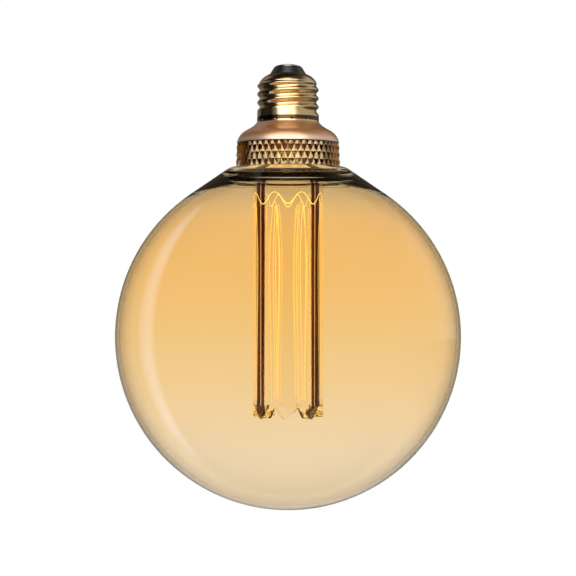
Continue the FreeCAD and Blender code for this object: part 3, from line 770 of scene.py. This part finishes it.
def floor():
    """White paper under the lamp, which fades into an even white further out; mirrors see it as dark brown,
    a painted dark reflection.
    """
    s = FLOOR_HALF
    corners = [(-s, -s, FLOOR_Z), (s, -s, FLOOR_Z), (s, s, FLOOR_Z), (-s, s, FLOOR_Z)]
    made = new_mesh("floor", corners, [(0, 1, 2, 3)])
    pale, n = material("pale_floor")
    where = n.where()
    path = n.add("ShaderNodeLightPath").outputs
    camera_ray, through = path["Is Camera Ray"], path["Is Transmission Ray"]
    mirrored = n.math("SUBTRACT", path["Is Glossy Ray"], through, clamp=True)
    sheet = n.mix(n.noise(where, 40, 3), (0.88, 0.88, 0.88, 1), (0.92, 0.92, 0.92, 1))
    # Painted dark reflection: mirrors see the floor dark brown, near and far
    sheet = n.mix(n.times(mirrored, 0.8), sheet, (0.34, 0.26, 0.16, 1.0))
    paper = n.principled(Base_Color=sheet, Roughness=0.9, Specular_IOR_Level=0.1)
    lift = n.math("ADD", n.times(camera_ray, 0.55), n.times(through, 0.36))
    seen = n.math("MAXIMUM", camera_ray, n.math("MAXIMUM", through, mirrored))
    far = n.math("SUBTRACT", n.spread(seen, 0.0, 1.0, 0.62, 1.0), n.times(mirrored, 0.92))
    fade = n.spread(n.radius(where), *FLOOR_FADE_R, smooth=True)
    n.output(n.blend(fade, n.both(paper, n.emission(lift)), n.emission(far)))
    made.data.materials.append(pale)


def direction(turn, rise):
    """Unit vector: turn from the camera's side towards +X, rise above the horizon, in degrees."""
    a, e = math.radians(turn), math.radians(rise)
    return (math.sin(a) * math.cos(e), -math.cos(a) * math.cos(e), math.sin(e))


def studio():
    """White surroundings, with a soft studio in what the metal and the glass mirror."""
    world = bpy.data.worlds.new("studio")
    bpy.context.scene.world = world
    world.use_nodes = True
    n = Nodes(world.node_tree)
    way = n.add("ShaderNodeTexCoord").outputs["Generated"]
    x, y, z = n.split(way)
    path = n.add("ShaderNodeLightPath").outputs
    turn = n.spread(n.math("ARCTAN2", x, n.times(y, -1.0)), -math.pi, math.pi)
    height = n.spread(z, -1.0, 1.0)

    def at(deg):
        return (deg + 180) / 360

    rear = (0.09, 0.07, 0.045)
    around = n.ramp(turn, [
        (0.0, rear), (at(-150), rear), (at(-116), 0.2), (at(-107), 0.0), (at(-64), 0.0),
        (at(-56), 0.12), (at(-42), 0.2), (at(-32), 0.55), (at(20), 0.6), (at(34), 0.62),
        (at(60), 0.55), (at(120), 0.5), (at(136), 0.45), (at(152), rear), (1.0, rear),
    ])
    up = n.ramp(height, [
        (0.0, 0.1), (0.32, 0.1), (0.44, 0.8), (0.50, 1.0), (0.84, 1.0), (0.93, 0.12), (1.0, 0.08),
    ])
    walls = n.mix(1.0, around, up, "MULTIPLY")

    # Sharp mirrors, which are glass, see less of the front, so that the globe keeps its outline from behind
    front = n.ramp(turn, [
        (at(-FRONT_OUTER), 1.0), (at(-FRONT_INNER), FRONT_LEFT), (at(FRONT_INNER), FRONT_LEFT),
        (at(FRONT_OUTER), 1.0),
    ])
    in_glass = n.mix(1.0, walls, front, "MULTIPLY")
    off_box = n.dot(way, direction(BOX_TURN, BOX_UP))
    box = n.spread(
        off_box, math.cos(math.radians(BOX_OUTER)), math.cos(math.radians(BOX_INNER)), 0.0, BOX_STRENGTH,
        smooth=True,
    )
    mirrored = n.mix(path["Is Singular Ray"], n.mix(1.0, walls, box, "ADD"), in_glass)
    through = n.ramp(height, [(0.0, 0.9), (0.30, 1.0), (0.74, 1.0), (0.82, 0.1), (1.0, 0.05)])
    light = n.mix(path["Is Glossy Ray"], (0.62, 0.62, 0.63, 1.0), mirrored)
    light = n.mix(path["Is Transmission Ray"], light, through)
    light = n.mix(path["Is Camera Ray"], light, (1.0, 1.0, 1.0, 1.0))
    background = n.add("ShaderNodeBackground")
    n.put(background.inputs["Color"], light)
    n.put(n.add("ShaderNodeOutputWorld").inputs["Surface"], background.outputs[0])


def lamp(name, place, aim, size, power):
    """A soft round lamp that nothing mirrors."""
    light = bpy.data.lights.new(name, "AREA")
    light.shape = "DISK"
    light.size = size
    light.energy = power
    made = new_object(name, light)
    made.location = place
    away = Vector([a - p for a, p in zip(aim, place)])
    made.rotation_euler = away.to_track_quat("-Z", "Y").to_euler()
    made.visible_camera = False
    made.visible_glossy = False
    made.visible_transmission = False


def only_in_mirrors(made):
    made.visible_camera = False
    made.visible_diffuse = False
    made.visible_transmission = False
    made.visible_shadow = False


def side_light():
    """A bent strip of light that only mirrors show: the globe has it as one long streak on its left."""
    eye = Vector((0, -CAMERA_DISTANCE * MM, CAMERA_Z * MM))
    centre = Vector((0, 0, GLOBE_CENTRE * MM))
    verts = []
    for k in range(STREAK_RUNS + 1):
        turn = math.radians(STREAK_LOW + (STREAK_HIGH - STREAK_LOW) * k / STREAK_RUNS)
        for j in range(STREAK_LANES + 1):
            wide = STREAK_ACROSS + STREAK_HALF * (2 * j / STREAK_LANES - 1)
            side, up = -wide * math.cos(turn), STREAK_UP * math.sin(turn) + STREAK_LIFT
            normal = Vector((side, -math.sqrt(1 - side * side - up * up), up))
            spot = centre + normal * GLOBE_R * MM
            ray = (spot - eye).normalized()
            verts.append(tuple(spot + (ray - 2 * ray.dot(normal) * normal) * STREAK_AWAY))
    row = STREAK_LANES + 1
    faces = []
    for k in range(STREAK_RUNS):
        for j in range(STREAK_LANES):
            a = k * row + j
            faces.append((a, a + 1, a + row + 1, a + row))
    made = new_mesh("side_light", verts, faces)
    uv = made.data.uv_layers.new(name="UVMap")
    for loop in made.data.loops:
        k, j = divmod(loop.vertex_index, row)
        uv.data[loop.index].uv = (j / STREAK_LANES, k / STREAK_RUNS)
    bright, n = material("side_light")
    across, along_strip, _ = n.split(n.add("ShaderNodeTexCoord").outputs["UV"])
    fade = n.times(
        n.ramp(across, [(0.0, 0.0), (0.2, 0.85), (0.4, 1.0), (1.0, 0.0)]),
        n.ramp(along_strip, [(0.0, 0.0), (0.18, 0.8), (0.4, 1.0), (0.6, 1.0), (0.85, 0.6), (1.0, 0.0)]),
    )
    glow = n.emission(n.times(fade, STREAK_STRENGTH), (0.40, 0.66, 1.0, 1.0))
    n.output(n.both(n.add("ShaderNodeBsdfTransparent").outputs[0], glow))
    made.data.materials.append(bright)
    only_in_mirrors(made)


def black_card():
    """An upright black card that only mirrors show: it keeps the side light off the cap."""
    (front, rear), (foot, head) = CARD_Y, CARD_Z
    corners = [(CARD_X, y, z) for y, z in ((front, foot), (rear, foot), (rear, head), (front, head))]
    made = new_mesh("black_card", corners, [(0, 1, 2, 3)])
    black, n = material("black_card")
    where = n.where()
    felt = n.mix(n.noise(where, 900, 2), (0.008, 0.008, 0.008, 1), (0.014, 0.014, 0.014, 1))
    felt = n.mix(n.step(n.split(where)[1], CARD_GREY_Y, smooth=True), felt, (0.27, 0.27, 0.29, 1.0))
    n.output(n.principled(Base_Color=felt, Roughness=0.95, Specular_IOR_Level=0.0))
    made.data.materials.append(black)
    only_in_mirrors(made)


floor()
studio()
black_card()
side_light()
lamp("key", (-0.9, -1.1, 1.0), (0, 0, -0.07), 0.8, 14)
lamp("fill", (1.2, -0.7, 0.5), (0, 0, -0.07), 1.0, 7)


# Camera

camera_data = bpy.data.cameras.new("camera")
camera_data.lens = LENS
camera_data.sensor_width = SENSOR
camera_data.clip_start = 0.01
camera_data.clip_end = 30.0
camera = new_object("camera", camera_data)
camera.location = (0, -CAMERA_DISTANCE * MM, CAMERA_Z * MM)
camera.rotation_euler = (math.pi / 2, 0, 0)
scene = bpy.context.scene
scene.camera = camera
scene.view_settings.view_transform = "Standard"

# Light passes the walls of globe, guide and ring many times
scene.cycles.max_bounces = 24
scene.cycles.transmission_bounces = 24
scene.cycles.glossy_bounces = 8
